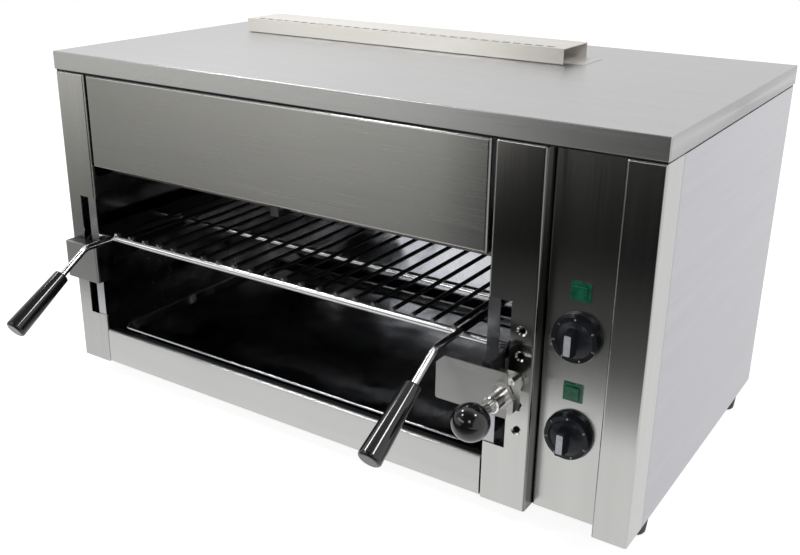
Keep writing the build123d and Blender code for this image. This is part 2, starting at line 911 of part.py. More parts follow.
def make_plunger():
    """Spring-loaded pin that drops into the lock holes, with its housing and ball."""
    axis = Axis((lock_x, front, lock_z), (0, -1, 0))
    section = Plane(origin=(lock_x, front, lock_z), x_dir=(1, 0, 0), z_dir=(0, 0, 1))
    pin_radius = lock_diameter / 2 - pin_fit
    guide_radius = lock_diameter / 2

    with BuildPart() as housing:
        with BuildSketch(section):
            with BuildLine():
                Polyline(
                    (guide_radius, -plunger_rear),
                    (plunger_nose_radius, -plunger_rear),
                    (plunger_nose_radius, -plunger_block_rear + sheet),
                    (plunger_radius, -plunger_block_rear + sheet),
                    (plunger_radius, -plunger_front + sheet),
                    (plunger_radius - sheet, -plunger_front),
                    (guide_radius, -plunger_front),
                    (guide_radius, -plunger_front + plunger_wall),
                    (plunger_chamber_radius, -plunger_front + plunger_wall),
                    (plunger_chamber_radius, -plunger_rear - plunger_guide),
                    (guide_radius, -plunger_rear - plunger_guide),
                    close=True,
                )
            make_face()
        revolve(axis=axis)
    finish(housing, "plunger_housing")

    with BuildPart() as nut:
        with BuildSketch(seen_from_front(front - right_bracket_depth)):
            with Locations((lock_x, lock_z)):
                RegularPolygon(plunger_nut_radius, 6)
                Circle(plunger_radius, mode=Mode.SUBTRACT)
        extrude(amount=plunger_nut_thickness)
    finish(nut, "plunger_nut")

    with BuildPart() as pin:
        with BuildSketch(section):
            with BuildLine():
                Polyline(
                    (0, -pin_rest_clear),
                    (pin_radius - pin_nose, -pin_rest_clear),
                    (pin_radius, -pin_rest_clear - pin_nose),
                    (pin_radius, -collar_back),
                    (collar_radius, -collar_back),
                    (collar_radius, -collar_back - collar_thickness),
                    (pin_radius, -collar_back - collar_thickness),
                    (pin_radius, -neck_back),
                    (neck_radius, -neck_back),
                    (neck_radius, -ball_forward + ball_radius - ball_seat),
                    (0, -ball_forward + ball_radius - ball_seat),
                    close=True,
                )
            make_face()
        revolve(axis=axis)
    finish(pin, "plunger_pin")

    with BuildPart() as ball:
        with Locations((lock_x, front - ball_forward, lock_z)):
            Sphere(ball_radius)
        with Locations(Plane(origin=(lock_x, front - ball_forward + ball_radius, lock_z), z_dir=(0, 1, 0))):
            Hole(radius=neck_radius, depth=ball_seat)
    finish(ball, "ball_knob")

    spring_front = front - plunger_front + plunger_wall + spring_clear + spring_wire / 2
    spring_back = front - collar_back - collar_thickness - spring_clear - spring_wire / 2
    spring_radius = plunger_chamber_radius - spring_clear - spring_wire / 2
    rise = spring_back - spring_front
    with BuildPart() as spring:
        with BuildLine():
            coil = Helix(
                pitch=rise / spring_turns,
                height=rise,
                radius=spring_radius,
                center=(lock_x, spring_front, lock_z),
                direction=(0, 1, 0),
            )
        with BuildSketch(Plane(origin=coil @ 0, z_dir=coil % 0)):
            Circle(spring_wire / 2)
        sweep(is_frenet=True)
    finish(spring, "plunger_spring")


# ---------------------------------------------------------------- rack and handles

def make_rack():
    """Welded rack: a rod frame with long wires lying on it from front to back."""
    near = front - rack_front_end
    far = front + rack_depth
    sides = (opening_middle - rack_span / 2, opening_middle + rack_span / 2)
    wire_z = rack_z + rack_radius + wire_radius - weld_sink
    with BuildPart() as rack:
        with BuildSketch(seen_from_front(far)):
            with Locations(*[(x, rack_z) for x in sides]):
                Circle(rack_radius)
        extrude(amount=far - near)
        with BuildSketch(seen_from_right(sides[0])):
            with Locations((front, rack_z), (far - rack_rear_end, rack_z)):
                Circle(rack_radius)
        extrude(amount=rack_span)
        with BuildSketch(seen_from_front(far)):
            with Locations((opening_middle, wire_z)):
                with GridLocations(wire_pitch, 0, wire_count, 1):
                    Circle(wire_radius)
        extrude(amount=far - front + wire_overrun)
    finish(rack, "rack")


def make_handles():
    """Bent rods that carry the rack's two grips, and the moulded grips on them."""
    start = front - rack_front_end
    bend = front - handle_reach_level
    slope = radians(handle_slope)
    for name, side in zip(side_names, (-1, 1)):
        x = opening_middle + side * rack_span / 2
        rod_length = handle_rod_visible + grip_bore_depth
        tip = (x, bend - rod_length * cos(slope), rack_z - rod_length * sin(slope))
        with BuildPart() as rod:
            with BuildLine():
                FilletPolyline((x, start, rack_z), (x, bend, rack_z), tip, radius=handle_bend_radius)
            with BuildSketch(Plane(origin=(x, start, rack_z), z_dir=(0, -1, 0))):
                Circle(rack_radius)
            sweep()
        finish(rod, f"handle_rod_{name}")

        along = Vector(0, -cos(slope), -sin(slope))
        top = Vector(x, bend, rack_z) + along * handle_rod_visible
        with BuildPart() as grip:
            with BuildSketch(Plane(origin=top, z_dir=along)):
                Circle(grip_radius_top)
            with BuildSketch(Plane(origin=top + along * grip_length, z_dir=along)):
                Circle(grip_radius_end)
            loft()
            circles = grip.edges().filter_by(GeomType.CIRCLE).sort_by(Axis.Y)
            fillet(circles[-1], radius=grip_round_top)
            fillet(circles[0], radius=grip_round_end)
            with Locations(Plane(origin=top, z_dir=-along)):
                Hole(radius=rack_radius, depth=grip_bore_depth)
        finish(grip, f"grip_{name}")


# ---------------------------------------------------------------- drip tray

def make_tray():
    """Flared pan with a rolled rim, on two runners on the cavity floor."""
    low = floor_top + runner_height + tray_clear
    near = front + tray_front
    middle = (opening_middle, near + tray_depth / 2)
    rise = tray_height - tray_rim_radius
    width = tray_width - 3 * tray_rim_radius
    depth = tray_depth - 3 * tray_rim_radius
    with BuildSketch(level(low + rise)) as outline:
        with Locations(middle):
            RectangleRounded(
                width + tray_rim_radius,
                depth + tray_rim_radius,
                tray_corner + tray_rim_radius / 2,
            )
    rim = outline.sketch.face().outer_wire()
    with BuildPart() as tray:
        for inset, z, mode in ((0, low, Mode.ADD), (tray_wall, low + tray_wall, Mode.SUBTRACT)):
            shrink = rise - (z - low) + inset * tray_wall_slant
            with BuildSketch(level(z)):
                with Locations(middle):
                    RectangleRounded(width - 2 * shrink, depth - 2 * shrink, tray_corner - shrink)
            extrude(amount=low + rise - z, taper=-tray_flare, mode=mode)
        with BuildSketch(Plane(origin=rim @ 0, z_dir=rim % 0)):
            Circle(tray_rim_radius)
        sweep(path=rim)
    finish(tray, "drip_tray")

    runner_near = front + rail_setback + rail_return + seam
    runner_x = tray_width / 2 - tray_height - 2 * runner_width
    length = near + tray_depth - runner_near
    with BuildPart() as runners:
        with Locations(*[(opening_middle + side * runner_x, runner_near + length / 2,
                          floor_top + runner_height / 2) for side in (-1, 1)]):
            Box(runner_width, length, runner_height)
    finish(runners, "tray_runners")


# ---------------------------------------------------------------- controls

def make_controls():
    """Energy regulators behind the panel, with their spindles and knobs."""
    x = controls_middle
    body_front = panel_face + sheet
    for name, z in zip(level_names, knob_z):
        axis = Plane(origin=(x, body_front, z), x_dir=(1, 0, 0), z_dir=(0, -1, 0))
        spindle_bore = spindle_radius + spindle_fit
        bore_depth = sheet + bush_proud + spindle_engage
        with BuildPart() as regulator:
            with Locations((x, body_front + regulator_depth / 2, z)):
                Box(regulator_size, regulator_depth, regulator_size)
                fillet(regulator.edges().filter_by(Axis.Y), radius=regulator_corner)
            with BuildSketch(axis):
                Circle(bush_radius)
            extrude(amount=sheet + bush_proud)
            with BuildSketch(axis.offset(sheet)):
                RegularPolygon(nut_radius, 6)
            extrude(amount=nut_thickness)
            with Locations(axis.offset(sheet + bush_proud)):
                Hole(radius=spindle_bore, depth=bore_depth)
        finish(regulator, f"regulator_{name}")

        knob_back = panel_face - knob_clear
        spindle_end = knob_back - knob_bore_depth
        spindle_rear = body_front + spindle_engage - 2 * knob_clear
        with BuildPart() as spindle:
            with BuildSketch(seen_from_front(spindle_rear)):
                with Locations((x, z)):
                    Circle(spindle_radius)
            extrude(amount=spindle_rear - spindle_end)
        finish(spindle, f"spindle_{name}")

        with BuildPart() as knob:
            with BuildSketch(Plane(origin=(x, knob_back, z), x_dir=(1, 0, 0), z_dir=(0, 0, 1))):
                with BuildLine():
                    outline = Polyline(
                        (0, 0),
                        (knob_radius, 0),
                        (knob_radius, -knob_skirt / 3),
                        (knob_radius - knob_skirt_taper, -knob_skirt),
                        (knob_hub_radius, -knob_skirt),
                    )
                    top = (0, -knob_skirt - knob_hub_height)
                    ThreePointArc(
                        outline @ 1,
                        (knob_hub_radius * 0.72, -knob_skirt - knob_hub_height * 0.72),
                        top,
                    )
                    Line(top, (0, 0))
                make_face()
            revolve(axis=Axis((x, knob_back, z), (0, 1, 0)))
            with BuildSketch(seen_from_front(knob_back - knob_skirt)):
                with Locations((x, z)):
                    RectangleRounded(knob_bar_width, knob_bar_length, knob_bar_corner)
            extrude(amount=knob_hub_height + knob_bar_height, taper=3)
            with Locations(Plane(origin=(x, knob_back, z), z_dir=(0, 1, 0))):
                Hole(radius=knob_recess_radius, depth=knob_recess)
                Hole(radius=spindle_radius, depth=knob_bore_depth)
        finish(knob, f"knob_{name}")


def make_lamps():
    """Square pilot lamps: stepped green lenses on the holders that pass through the panel."""
    places = [(controls_middle, z) for z in lamp_z]
    with BuildPart() as lenses:
        for inset, low, high in ((0, 0, lamp_rim), (lamp_border, lamp_rim, lamp_proud)):
            with BuildSketch(seen_from_front(panel_face - low)):
                with Locations(*places):
                    Rectangle(lamp_width - 2 * inset, lamp_height - 2 * inset)
            extrude(amount=high - low, taper=lamp_taper)
        fillet(lenses.faces().filter_by(Axis.Y).group_by(Axis.Y)[0].edges(), radius=lamp_round)
    finish(lenses, "lamp_lenses")

    with BuildPart() as holders:
        with BuildSketch(seen_from_front(panel_face + lamp_body_depth)):
            with Locations(*places):
                Rectangle(lamp_body_width, lamp_body_height)
        extrude(amount=lamp_body_depth)
    finish(holders, "lamp_holders")


# ---------------------------------------------------------------- rear services

def make_services():
    """Cable gland in the rear panel and the mains terminal block on the base."""
    x = half - gland_inset
    z = under + gland_height
    rear_inside = back - sheet - liner
    with BuildPart() as gland:
        with BuildSketch(seen_from_front(back - sheet + gland_proud)):
            with Locations((x, z)):
                Circle(gland_body_radius)
        extrude(amount=gland_proud + liner + gland_inside)
        with BuildSketch(seen_from_front(back - sheet + gland_nut_thickness)):
            with Locations((x, z)):
                RegularPolygon(gland_nut_radius, 6)
        extrude(amount=gland_nut_thickness)
        with BuildSketch(seen_from_front(rear_inside)):
            with Locations((x, z)):
                RegularPolygon(gland_nut_radius, 6)
        extrude(amount=gland_nut_thickness)
        with Locations(Plane(origin=(x, back - sheet + gland_proud, z), z_dir=(0, 1, 0))):
            Hole(radius=gland_bore_radius)
    finish(gland, "cable_gland")

    low = under + sheet
    near = rear_inside - gland_inside - terminal_width - panel_return
    block = plate(
        (x - terminal_length / 2, near, low),
        (x + terminal_length / 2, near + terminal_width, low + terminal_height),
    )
    with block:
        pitch = terminal_length / terminal_ways
        with BuildSketch(level(low + terminal_height)) as cuts:
            with Locations((x, near + terminal_width / 2)):
                with GridLocations(pitch, terminal_width / 2, terminal_ways, 2):
                    Circle(pitch / 4)
        extrude(cuts.sketch, amount=-terminal_height / 3, mode=Mode.SUBTRACT)
    finish(block, "terminal_block")

    with BuildPart() as screws:
        for z_row in (under + panel_return, panel_top - panel_return):
            for side in (-1, 1):
                x_row = side * (half - panel_return / 2 - sheet / 2)
                with BuildSketch(seen_from_front(back)):
                    with Locations((x_row, z_row)):
                        Circle(screw_head_radius)
                extrude(amount=-screw_head_height)
        fillet(screws.faces().sort_by(Axis.Y)[-4:].edges(), radius=screw_head_height / 3)
    finish(screws, "rear_screws")


make_lid()
make_top_frame()
make_posts()
make_slot_guides()
make_side_panels()
make_rear_panel()
make_base_pan()
make_front_rail()
make_fascia()
make_control_panel()
make_feet()
make_flue()
make_cavity()
make_elements()
make_element_supports()
make_carriers()
make_ties()
make_shoes()
make_brackets()
make_plunger()
make_rack()
make_handles()
make_tray()
make_controls()
make_lamps()
make_services()
print(f"front face at y = {front:.3f}, lock travel = {travel:.2f}")
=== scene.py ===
"""Looks for the countertop cheese melter. Metres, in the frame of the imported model."""
from math import cos, pi, radians, sin

import bmesh
import bpy
from mathutils import Matrix, Vector


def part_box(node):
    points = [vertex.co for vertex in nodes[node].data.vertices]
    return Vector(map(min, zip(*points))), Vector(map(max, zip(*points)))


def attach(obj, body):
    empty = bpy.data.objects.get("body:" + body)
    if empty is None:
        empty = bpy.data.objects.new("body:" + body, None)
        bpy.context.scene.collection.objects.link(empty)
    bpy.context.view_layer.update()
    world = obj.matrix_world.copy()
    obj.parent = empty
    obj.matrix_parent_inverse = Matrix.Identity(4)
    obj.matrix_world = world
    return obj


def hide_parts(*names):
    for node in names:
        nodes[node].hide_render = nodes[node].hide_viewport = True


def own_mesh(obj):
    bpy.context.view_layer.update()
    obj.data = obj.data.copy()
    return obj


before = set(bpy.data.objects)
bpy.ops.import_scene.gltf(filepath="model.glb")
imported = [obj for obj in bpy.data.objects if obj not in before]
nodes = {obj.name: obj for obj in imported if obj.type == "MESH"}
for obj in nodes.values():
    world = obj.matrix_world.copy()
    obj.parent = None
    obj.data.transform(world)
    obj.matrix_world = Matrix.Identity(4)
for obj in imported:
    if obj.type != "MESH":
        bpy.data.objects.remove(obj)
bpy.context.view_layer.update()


def add_object(name, data):
    """An object with its data, linked into the scene."""
    thing = bpy.data.objects.new(name, data)
    bpy.context.scene.collection.objects.link(thing)
    return thing


# ---------------------------------------------------------------- camera

CAMERA_PLACE = (0.66018, -0.982475, 0.64618)
IMAGE_RIGHT = (0.83185236, 0.55493745, 0.00812945)
IMAGE_UP = (-0.20334749, 0.29112376, 0.93482445)
IMAGE_BACK = (0.51640242, -0.77928903, 0.35501712)
LENS_MM = 45.047
SENSOR_MM = 36.0
SHIFT_X = 0.01829
SHIFT_Y = -0.01353
NEAREST_SEEN = 0.05


def add_camera():
    """Camera at the photograph's viewpoint."""
    data = bpy.data.cameras.new("camera")
    data.sensor_fit = "HORIZONTAL"
    data.sensor_width = SENSOR_MM
    data.lens = LENS_MM
    data.shift_x = SHIFT_X
    data.shift_y = SHIFT_Y
    data.clip_start = NEAREST_SEEN
    camera = add_object("camera", data)
    turn = Matrix((IMAGE_RIGHT, IMAGE_UP, IMAGE_BACK)).transposed()
    camera.matrix_world = Matrix.Translation(CAMERA_PLACE) @ turn.to_4x4()
    bpy.context.scene.camera = camera


add_camera()


# ---------------------------------------------------------------- materials

def new_material(name, color, metallic=0.0, roughness=0.4, **sockets):
    """A Principled material; returns it with its node tree and shader."""
    material = bpy.data.materials.new(name)
    material.use_nodes = True
    tree = material.node_tree
    shader = tree.nodes["Principled BSDF"]
    shader.inputs["Base Color"].default_value = (*color, 1.0)
    shader.inputs["Metallic"].default_value = metallic
    shader.inputs["Roughness"].default_value = roughness
    for key, value in sockets.items():
        shader.inputs[key.replace("_", " ")].default_value = value
    return material, tree, shader


def noise(tree, scale, detail=4.0, rough=0.5):
    """Noise over the object's own coordinates; scale is one number or one per axis."""
    place = tree.nodes.new("ShaderNodeTexCoord")
    mapping = tree.nodes.new("ShaderNodeMapping")
    mapping.inputs["Scale"].default_value = scale if isinstance(scale, tuple) else (scale,) * 3
    texture = tree.nodes.new("ShaderNodeTexNoise")
    texture.inputs["Scale"].default_value = 1.0
    texture.inputs["Detail"].default_value = detail
    texture.inputs["Roughness"].default_value = rough
    tree.links.new(place.outputs["Object"], mapping.inputs["Vector"])
    tree.links.new(mapping.outputs["Vector"], texture.inputs["Vector"])
    return texture.outputs["Fac"]


def ramp(tree, value, stops):
    """Colour ramp from a value; stops are (position, colour)."""
    node = tree.nodes.new("ShaderNodeValToRGB")
    elements = node.color_ramp.elements
    while len(elements) < len(stops):
        elements.new(0.5)
    for element, (position, color) in zip(elements, stops):
        element.position = position
        element.color = (*color, 1.0)
    tree.links.new(value, node.inputs["Fac"])
    return node.outputs["Color"]


def span(tree, value, low, high, start=0.3, end=0.7):
    """Map a value's usual range onto low..high."""
    node = tree.nodes.new("ShaderNodeMapRange")
    node.inputs["From Min"].default_value = start
    node.inputs["From Max"].default_value = end
    node.inputs["To Min"].default_value = low
    node.inputs["To Max"].default_value = high
    tree.links.new(value, node.inputs["Value"])
    return node.outputs["Result"]


def axes(tree, coords):
    """The three coordinates of a texture place."""
    place = tree.nodes.new("ShaderNodeTexCoord")
    split = tree.nodes.new("ShaderNodeSeparateXYZ")
    tree.links.new(place.outputs[coords], split.inputs["Vector"])
    return split.outputs["X"], split.outputs["Y"], split.outputs["Z"]


def reckon(tree, operation, first, second=0.0):
    """One step of arithmetic on numbers or sockets."""
    node = tree.nodes.new("ShaderNodeMath")
    node.operation = operation
    for value, socket in ((first, node.inputs[0]), (second, node.inputs[1])):
        if isinstance(value, float):
            socket.default_value = value
        else:
            tree.links.new(value, socket)
    return node.outputs["Value"]


def bump(tree, shader, height, strength, distance):
    """Feed a height into the shader's normal."""
    node = tree.nodes.new("ShaderNodeBump")
    node.inputs["Strength"].default_value = strength
    node.inputs["Distance"].default_value = distance
    tree.links.new(height, node.inputs["Height"])
    tree.links.new(node.outputs["Normal"], shader.inputs["Normal"])


def darker_past(tree, color, axis, start, share, reach):
    """Paint shade on a colour: darken it to a share of itself past a place on an axis; reach says
    how gradually.
    """
    along = axes(tree, "Object")["XYZ".index(axis)]
    level = span(tree, along, 1.0, share, start=start, end=start + reach)
    node = tree.nodes.new("ShaderNodeVectorMath")
    node.operation = "SCALE"
    tree.links.new(color, node.inputs["Vector"])
    tree.links.new(level, node.inputs["Scale"])
    return node.outputs["Vector"]


# scales of the noises, per metre
GRAIN_ACROSS = 1100.0
GRAIN_ALONG = GRAIN_ACROSS / 160
BAND_ACROSS = 60.0
BAND_ALONG = 1.5
SMEARS = 22.0
SKIN = 900.0
HAZE = 35.0


def stretched(across, along, axis):
    """Scale of a noise that is drawn out along one axis."""
    scale = [across] * 3
    scale["XYZ".index(axis)] = along
    return tuple(scale)


def brushed(
    name, color, along, roughness=0.33, streak=0.025, spread=0.85, depth=0.000025, painted_shades=()
):
    """Brushed stainless steel; along is the axis that the brushing follows.

    The gloss spreads across the brushing. streak is how far the tone varies, and depth is that of
    the brush lines. The last argument lists painted shade, where the steel is painted darker:
    (axis, start, share, reach).
    """
    material, tree, shader = new_material(name, color, 1.0, roughness, Anisotropic=spread)
    across = tree.nodes.new("ShaderNodeTangent")
    across.direction_type = "RADIAL"
    across.axis = along
    tree.links.new(across.outputs["Tangent"], shader.inputs["Tangent"])
    streaks = noise(tree, stretched(GRAIN_ACROSS, GRAIN_ALONG, along), detail=3.0)
    bands = noise(tree, stretched(BAND_ACROSS, BAND_ALONG, along), detail=3.0)
    darker = tuple(c * (1 - streak) for c in color)
    lighter = tuple(min(1.0, c * (1 + streak)) for c in color)
    tone = ramp(tree, bands, ((0.3, darker), (0.7, lighter)))
    for one_painted_shade in painted_shades:
        tone = darker_past(tree, tone, *one_painted_shade)
    tree.links.new(tone, shader.inputs["Base Color"])
    gloss = span(tree, streaks, roughness * 0.9, roughness * 1.15)
    tree.links.new(gloss, shader.inputs["Roughness"])
    bump(tree, shader, streaks, 0.35, depth)
    return material


def polished(name, color, roughness=0.12, stain=None, painted_shades=(), wave=0.0015, ripple=7.0):
    """Bright rolled or plated metal with faint smears and, if asked, a heat stain.

    wave is how far the sheet waves, and ripple is the scale of those waves. The last argument
    lists painted shade, darkening the metal as for brushed steel.
    """
    material, tree, shader = new_material(name, color, 1.0, roughness)
    smears = noise(tree, SMEARS, detail=5.0, rough=0.6)
    gloss = span(tree, smears, roughness * 0.7, roughness * 1.6)
    tree.links.new(gloss, shader.inputs["Roughness"])
    duller = stain or tuple(c * 0.93 for c in color)
    tone = ramp(tree, smears, ((0.35, duller), (0.62, color)))
    for one_painted_shade in painted_shades:
        tone = darker_past(tree, tone, *one_painted_shade)
    tree.links.new(tone, shader.inputs["Base Color"])
    bump(tree, shader, noise(tree, ripple, detail=2.0), 0.10, wave)
    return material


def moulded(name, color, roughness=0.3, coat=0.0, shine=0.5):
    """Moulded plastic with a fine skin."""
    material, tree, shader = new_material(name, color, 0.0, roughness, Coat_Weight=coat)
    shader.inputs["Coat Roughness"].default_value = 0.05
    shader.inputs["Specular IOR Level"].default_value = shine
    skin = noise(tree, SKIN, detail=2.0)
    haze = noise(tree, HAZE, detail=4.0)
    gloss = span(tree, haze, roughness * 0.85, roughness * 1.25)
    tree.links.new(gloss, shader.inputs["Roughness"])
    lighter = tuple(c * 1.25 + 0.002 for c in color)
    tree.links.new(ramp(tree, haze, ((0.3, color), (0.75, lighter))), shader.inputs["Base Color"])
    bump(tree, shader, skin, 0.08, 0.0001)
    return material


FRONT_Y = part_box("corner_post")[0][1]
RACK_FRONT_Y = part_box("rack")[0][1]
LID_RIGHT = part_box("lid")[1][0]
MIDDLE_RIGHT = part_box("middle_post")[1][0]
CORNER_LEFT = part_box("corner_post")[0][0]

STEEL = (0.55, 0.55, 0.535)
LINER_RIPPLE = 9.0         # waves of the cavity's thin sheet
SHALLOW = 0.000012         # brush lines of the smooth uprights
FOLD = 0.002               # how gradually a face darkens behind a fold

# (axis, start, share, reach) of each painted shade: faces behind a fold, painted darker as if in
# the shade behind it, then edges painted darker to dim their reflection, then the fascia's ends,
# painted darker because they mirror darker parts of the photograph's room than its middle does
painted_shade_behind_post = ("Y", FRONT_Y + 0.003, 0.35, FOLD)
painted_shade_behind_rail = ("Y", FRONT_Y + 0.004, 0.12, FOLD)
painted_shade_behind_bracket = ("Y", FRONT_Y - 0.017, 0.12, FOLD)
# painted shade: the rack's wires behind its front wire are painted darker, as in the cavity's shade
painted_shade_behind_front_wire = ("Y", RACK_FRONT_Y + 0.0085, 0.22, FOLD)
# painted shade: narrow strips at the middle post's right edge, the corner post's left edge and the
# lid's right end, darkened to dim their reflection
painted_shade_middle_edge = ("X", MIDDLE_RIGHT - 0.0022, 0.40, 0.0008)
painted_shade_corner_edge = ("X", CORNER_LEFT + 0.0022, 0.50, -0.0008)
painted_shade_lid_end = ("X", LID_RIGHT - 0.0009, 0.82, 0.0006)
# painted reflection: the fascia's colour darkens towards both ends, where it mirrors darker parts
# of the room
painted_reflection_fascia_left = ("X", 0.0, 0.70, -0.33)
painted_reflection_fascia_right = ("X", 0.17, 0.75, 0.05)

steel_level = brushed("steel_brushed_level", (0.42, 0.42, 0.405), "X", roughness=0.27)
steel_fascia = brushed(
    "steel_fascia", (0.47, 0.47, 0.455), "X",
    roughness=0.24, streak=0.010, depth=0.000006, painted_shades=(painted_reflection_fascia_left, painted_reflection_fascia_right),
)
steel_rail = brushed("steel_rail", (0.63, 0.63, 0.62), "X", painted_shades=(painted_shade_behind_rail,))
steel_lid = brushed(
    "steel_lid", (0.53, 0.53, 0.53), "X",
    roughness=0.30, streak=0.012, spread=0.8, painted_shades=(painted_shade_lid_end,),
)
# painted light: the flue's steel is paler and warmer than the rest, standing in for the warm light
# that falls on it
steel_flue_painted_light = brushed("steel_flue_painted_light", (0.74, 0.72, 0.675), "X", roughness=0.34, streak=0.02)
steel_upright = brushed("steel_brushed_upright", STEEL, "Z", roughness=0.19, depth=SHALLOW)
steel_corner = brushed(
    "steel_corner", STEEL, "Z", roughness=0.19, depth=SHALLOW, painted_shades=(painted_shade_corner_edge,)
)
steel_middle = brushed(
    "steel_middle", STEEL, "Z", roughness=0.13, depth=SHALLOW, painted_shades=(painted_shade_behind_post, painted_shade_middle_edge)
)
steel_post = brushed(
    "steel_post", (0.51, 0.51, 0.50), "Z", roughness=0.25, depth=SHALLOW, painted_shades=(painted_shade_behind_post,)
)
steel_deep = brushed("steel_brushed_deep", (0.50, 0.50, 0.53), "Y")
steel_bracket = brushed("steel_bracket", (0.50, 0.50, 0.485), "X", painted_shades=(painted_shade_behind_bracket,))
# painted shade: the left bracket's steel is a darker copy of the right bracket's, standing in for
# the darker room it mirrors
steel_bracket_left_painted_shade = brushed(
    "steel_bracket_left_painted_shade", (0.33, 0.33, 0.32), "X", painted_shades=(painted_shade_behind_bracket,)
)
# painted shade: near-black steel for the parts seen only in gaps and slots (top frame, flue duct,
# carriers), standing in for the shade there
steel_shade_black = polished("steel_shade_black", (0.05, 0.05, 0.05), 0.45, stain=(0.025, 0.025, 0.025))
steel_liner = polished(
    "steel_liner", (0.58, 0.59, 0.61), 0.11,
    stain=(0.42, 0.43, 0.46), wave=0.020, ripple=LINER_RIPPLE,
)
steel_wall = polished(
    "steel_wall", (0.30, 0.29, 0.28), 0.18,
    stain=(0.15, 0.14, 0.13), wave=0.014, ripple=LINER_RIPPLE,
)
steel_ceiling = polished("steel_ceiling", (0.13, 0.125, 0.12), 0.40, stain=(0.07, 0.065, 0.06))
steel_strip = polished("steel_strip", (0.50, 0.51, 0.53), 0.20)
plated = polished("plated_steel", (0.86, 0.85, 0.83), 0.20)
chromed = polished("chromed_wire", (0.80, 0.80, 0.81), 0.13)
rack_wire = polished("rack_wire", (0.80, 0.80, 0.80), 0.14, painted_shades=(painted_shade_behind_front_wire,))
black_gloss = moulded("black_gloss", (0.006, 0.006, 0.007), 0.10, coat=0.3)
knob_black = moulded("knob_black", (0.007, 0.008, 0.011), 0.28, shine=0.28)
foot_black = moulded("foot_black", (0.03, 0.03, 0.032), 0.55)
shoe_nylon = moulded("shoe_nylon", (0.09, 0.09, 0.09), 0.5)
moulding_grey = moulded("moulding_grey", (0.13, 0.13, 0.14), 0.5)
ceramic = moulded("terminal_ceramic", (0.80, 0.78, 0.72), 0.5)


def make_lens():
    """Glossy green lamp lens with faintly uneven depths."""
    material, tree, shader = new_material(
        "lens_green", (0.0, 0.08, 0.04), 0.0, 0.16, Coat_Weight=0.6
    )
    shader.inputs["IOR"].default_value = 1.49
    cells = noise(tree, 150.0, detail=1.0)
    tone = ramp(tree, cells, ((0.35, (0.001, 0.060, 0.030)), (0.65, (0.003, 0.105, 0.052))))
    tree.links.new(tone, shader.inputs["Base Color"])
    bump(tree, shader, cells, 0.08, 0.0003)
    return material


def make_sheath():
    """Element sheath, oxidised to uneven browns and greys."""
    material, tree, shader = new_material("element_sheath", (0.2, 0.18, 0.17), 0.8, 0.5)
    bands = noise(tree, (18.0, 60.0, 60.0), detail=4.0)
    tone = ramp(
        tree,
        bands,
        ((0.3, (0.10, 0.085, 0.08)), (0.6, (0.26, 0.23, 0.21)), (0.8, (0.20, 0.20, 0.24))),
    )
    tree.links.new(tone, shader.inputs["Base Color"])
    bump(tree, shader, noise(tree, 500.0), 0.2, 0.0002)
    return material


lens_green = make_lens()
element_sheath = make_sheath()

NODE_MATERIALS = {
    steel_level: ("base_pan", "rear_panel"),
    steel_fascia: ("fascia",),
    steel_rail: ("front_rail",),
    steel_lid: ("lid",),
    steel_flue_painted_light: ("flue_box", "flue_plate"),
    steel_upright: ("control_panel",),
    steel_corner: ("corner_post",),
    steel_post: ("left_post",),
    steel_middle: ("middle_post",),
    steel_deep: ("side_panel_left", "side_panel_right"),
    steel_bracket: ("bracket_right",),
    steel_bracket_left_painted_shade: ("bracket_left",),
    steel_shade_black: ("top_frame", "flue_duct", "carrier_left", "carrier_right"),
    steel_liner: ("cavity_back", "cavity_floor", "drip_tray"),
    steel_wall: ("cavity_wall_left", "cavity_wall_right"),
    steel_ceiling: ("cavity_ceiling", "element_rest", "element_hanger", "tray_runners"),
    steel_strip: ("slot_guide_left", "slot_guide_right"),
    rack_wire: ("rack",),
    chromed: ("handle_rod_left", "handle_rod_right", "carriage_ties"),
    plated: (
        "plunger_housing", "plunger_nut", "plunger_block", "plunger_pin", "plunger_spring",
        "rear_screws", "spindle_upper", "spindle_lower",
    ),
    black_gloss: ("ball_knob", "grip_left", "grip_right"),
    knob_black: ("knob_upper", "knob_lower"),
    foot_black: ("feet", "cable_gland"),
    shoe_nylon: ("slide_shoe_left", "slide_shoe_right"),
    lens_green: ("lamp_lenses",),
    moulding_grey: ("lamp_holders", "regulator_upper", "regulator_lower"),
    element_sheath: ("heating_element_front", "heating_element_rear"),
    ceramic: ("terminal_block",),
}


def paler_inside(material, name, skin, share):
    """Heat-dulled inner faces of a folded box: less metallic behind its outer skin."""
    edge = 0.0002
    tree = material.node_tree
    shader = tree.nodes["Principled BSDF"]
    _, y, z = axes(tree, "Object")
    low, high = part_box(name)
    front = reckon(tree, "SUBTRACT", y, float(low[1]))
    back = reckon(tree, "SUBTRACT", float(high[1]), y)
    top = reckon(tree, "SUBTRACT", float(high[2]), z)
    depth = reckon(tree, "MINIMUM", reckon(tree, "MINIMUM", front, back), top)
    inside = span(tree, depth, 1.0, share, start=skin, end=skin + edge)
    tree.links.new(inside, shader.inputs["Metallic"])


def dress_nodes():
    """Give every carried-over solid its material."""
    for material, names in NODE_MATERIALS.items():
        for name in names:
            piece = nodes[name]
            piece.data.materials.clear()
            piece.data.materials.append(material)


dress_nodes()
paler_inside(steel_flue_painted_light, "flue_box", skin=0.0006, share=0.25)

# ---------------------------------------------------------------- marks on the knobs

KNOBS = ("upper", "lower")
SKIRT_DEPTH = 0.010        # from a knob's front back to the face that carries its numbers
MARK_PROUD = 0.0002
INDEX_SIZE = (0.0070, 0.0215)
INDEX_CORNER = 0.16        # share of the strip's width
CORNER_STEPS = 5
MARKS = 7                  # a dot for off, then 1 to 6
DIGIT_HEIGHT = 0.0032
FONT_SIZE = DIGIT_HEIGHT * 1.35
DIGIT_RADIUS = 0.0218
DIGIT_STEP = 50.0
DOT_RADII = (0.0011, 0.0009)


